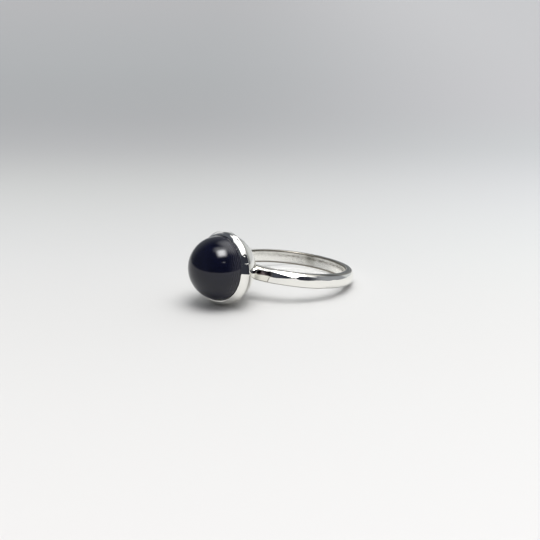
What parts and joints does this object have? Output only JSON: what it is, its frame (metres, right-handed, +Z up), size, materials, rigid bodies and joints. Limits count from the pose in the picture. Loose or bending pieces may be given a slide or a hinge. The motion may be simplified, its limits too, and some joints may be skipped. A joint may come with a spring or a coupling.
{
  "type": "onyx ring",
  "caption": "Silver finger ring with a narrow hammered band and a polished onyx ball held in a half-round cup with a raised collar, lying on its side.",
  "frame": {"origin": "on the floor, under the middle of the resting ring's bounding box", "axes": "+Z up from the floor that the ring lies on, -Y towards the stone, +X to the right of a viewer who faces the stone's front from behind the band"},
  "size_m": [0.0202, 0.0302, 0.0116],
  "materials": {
    "sterling_silver": "polished sterling silver, lightly hammered outside the band and satin inside it",
    "black_onyx": "polished opaque black stone"
  },
  "bodies": {
    "root": {"silver_ring": "sterling_silver", "onyx_stone": "black_onyx"}
  },
  "joints": []
}
